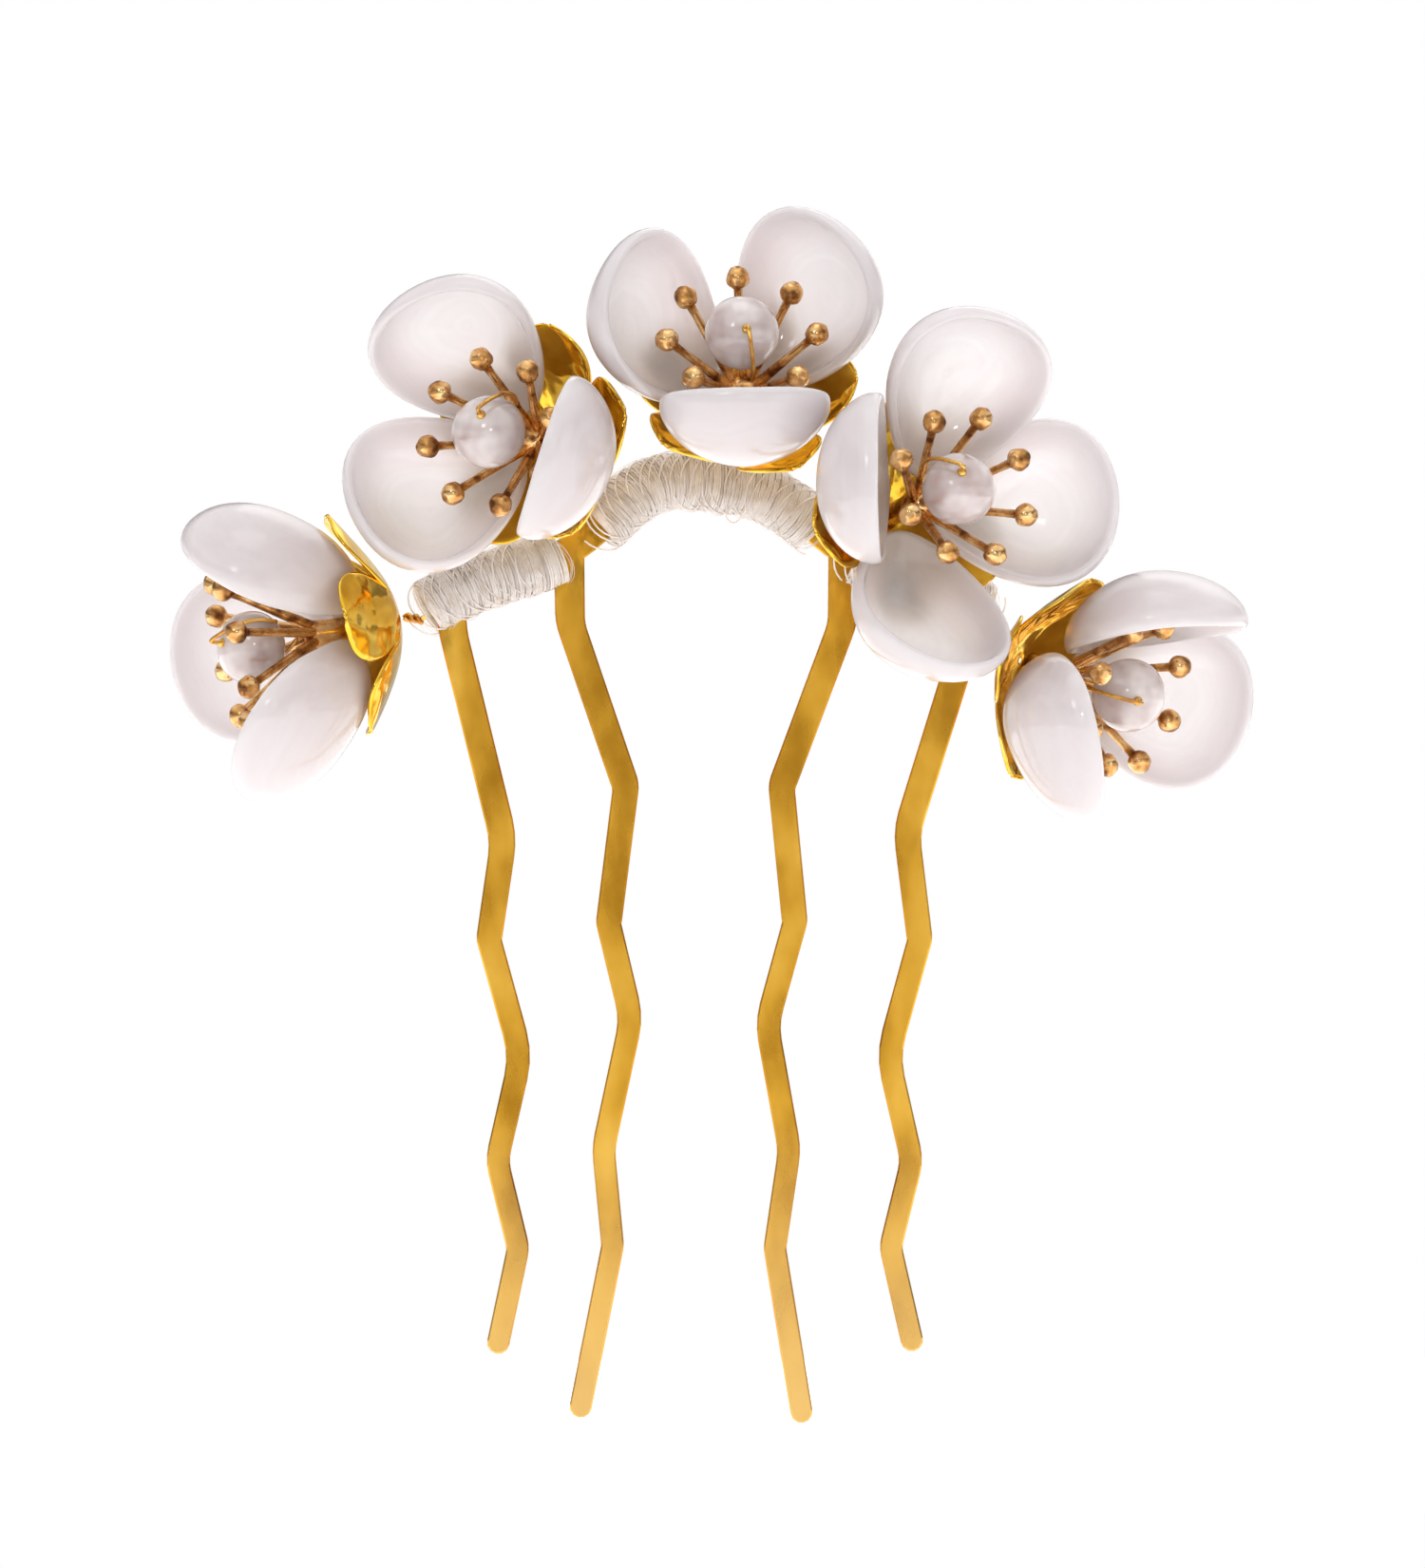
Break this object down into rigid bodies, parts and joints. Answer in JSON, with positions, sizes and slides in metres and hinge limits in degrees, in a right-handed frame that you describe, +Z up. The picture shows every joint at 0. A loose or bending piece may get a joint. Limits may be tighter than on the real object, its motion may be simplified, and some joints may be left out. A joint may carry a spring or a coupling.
{
  "type": "decorative hair pin",
  "caption": "Flat wavy-toothed hair comb pin whose arched, thread-wound spine carries wired blossoms with cupped milky petals, ball-ended stamens and drilled pearls.",
  "frame": {"origin": "on the comb's middle plane, between the roots of the inner teeth, where the hair holds it", "axes": "+Z up from the teeth to the blossoms, +X to the right seen from the front, -Y to the front, the side that the blossoms face"},
  "size_m": [0.0817, 0.0333, 0.0912],
  "materials": {
    "gold_plate": "gold-plated stamped brass, satin",
    "gold_cap": "gold-plated pressed sheet, polished",
    "antique_gold": "cast, antique rose gold",
    "gold_wire": "bright drawn wire",
    "milky_petal": "milky translucent, glossy",
    "pearl": "freshwater pearl lustre",
    "white_thread": "silky wound thread"
  },
  "bodies": {
    "comb_frame": {"comb": "gold_plate", "wrap_left": "white_thread", "wrap_centre": "white_thread", "wrap_right": "white_thread"},
    "blossom_1": {"calyx_1": "gold_cap", "petal_1_1": "milky_petal", "petal_1_2": "milky_petal", "petal_1_3": "milky_petal", "stamens_1": "antique_gold", "pearl_wire_1": "gold_wire", "stem_1": "gold_wire"},
    "bead_1": {"pearl_1": "pearl"},
    "blossom_2": {"calyx_2": "gold_cap", "petal_2_1": "milky_petal", "petal_2_2": "milky_petal", "petal_2_3": "milky_petal", "stamens_2": "antique_gold", "pearl_wire_2": "gold_wire", "stem_2": "gold_wire"},
    "bead_2": {"pearl_2": "pearl"},
    "blossom_3": {"calyx_3": "gold_cap", "petal_3_1": "milky_petal", "petal_3_2": "milky_petal", "petal_3_3": "milky_petal", "stamens_3": "antique_gold", "pearl_wire_3": "gold_wire", "stem_3": "gold_wire"},
    "bead_3": {"pearl_3": "pearl"},
    "blossom_4": {"calyx_4": "gold_cap", "petal_4_1": "milky_petal", "petal_4_2": "milky_petal", "petal_4_3": "milky_petal", "petal_4_4": "milky_petal", "stamens_4": "antique_gold", "pearl_wire_4": "gold_wire", "stem_4": "gold_wire"},
    "bead_4": {"pearl_4": "pearl"},
    "blossom_5": {"calyx_5": "gold_cap", "petal_5_1": "milky_petal", "petal_5_2": "milky_petal", "petal_5_3": "milky_petal", "stamens_5": "antique_gold", "pearl_wire_5": "gold_wire", "stem_5": "gold_wire"},
    "bead_5": {"pearl_5": "pearl"}
  },
  "joints": [
    {"name": "stem_bend_1", "type": "hinge", "parent": "comb_frame", "child": "blossom_1", "pos_m": [-0.02102, -0.0031, -0.00093], "axis": [0.8068, 0, 0.5908], "range_deg": [-4, 4], "stiffness_Nm_per_rad": 0.03},
    {"name": "pearl_spin_1", "type": "hinge", "parent": "blossom_1", "child": "bead_1", "pos_m": [-0.03398, -0.00419, -0.00295], "axis": [-0.8427, -0.5211, 0.1356], "continuous": true},
    {"name": "stem_bend_2", "type": "hinge", "parent": "comb_frame", "child": "blossom_2", "pos_m": [-0.01268, -0.00181, 0.00598], "axis": [0.9254, 0, 0.3791], "range_deg": [-4, 4], "stiffness_Nm_per_rad": 0.03},
    {"name": "pearl_spin_2", "type": "hinge", "parent": "blossom_2", "child": "bead_2", "pos_m": [-0.01606, -0.01257, 0.01317], "axis": [-0.2182, -0.8388, 0.4988], "continuous": true},
    {"name": "stem_bend_3", "type": "hinge", "parent": "comb_frame", "child": "blossom_3", "pos_m": [0.00127, -0.00202, 0.01173], "axis": [0.9924, 0, -0.123], "range_deg": [-4, 4], "stiffness_Nm_per_rad": 0.03},
    {"name": "pearl_spin_3", "type": "hinge", "parent": "blossom_3", "child": "bead_3", "pos_m": [0.0029, -0.01311, 0.02055], "axis": [0.1372, -0.9834, 0.1188], "continuous": true},
    {"name": "stem_bend_4", "type": "hinge", "parent": "comb_frame", "child": "blossom_4", "pos_m": [0.01318, -0.00273, 0.00483], "axis": [0.9366, 0, -0.3505], "range_deg": [-4, 4], "stiffness_Nm_per_rad": 0.03},
    {"name": "pearl_spin_4", "type": "hinge", "parent": "blossom_4", "child": "bead_4", "pos_m": [0.01913, -0.01807, 0.00884], "axis": [0.0839, -0.8669, 0.4913], "continuous": true},
    {"name": "stem_bend_5", "type": "hinge", "parent": "comb_frame", "child": "blossom_5", "pos_m": [0.0202, -0.00241, -0.00199], "axis": [0.7455, 0, -0.6665], "range_deg": [-4, 4], "stiffness_Nm_per_rad": 0.03},
    {"name": "pearl_spin_5", "type": "hinge", "parent": "blossom_5", "child": "bead_5", "pos_m": [0.03194, -0.00756, -0.00654], "axis": [0.2537, -0.951, -0.1765], "continuous": true}
  ]
}
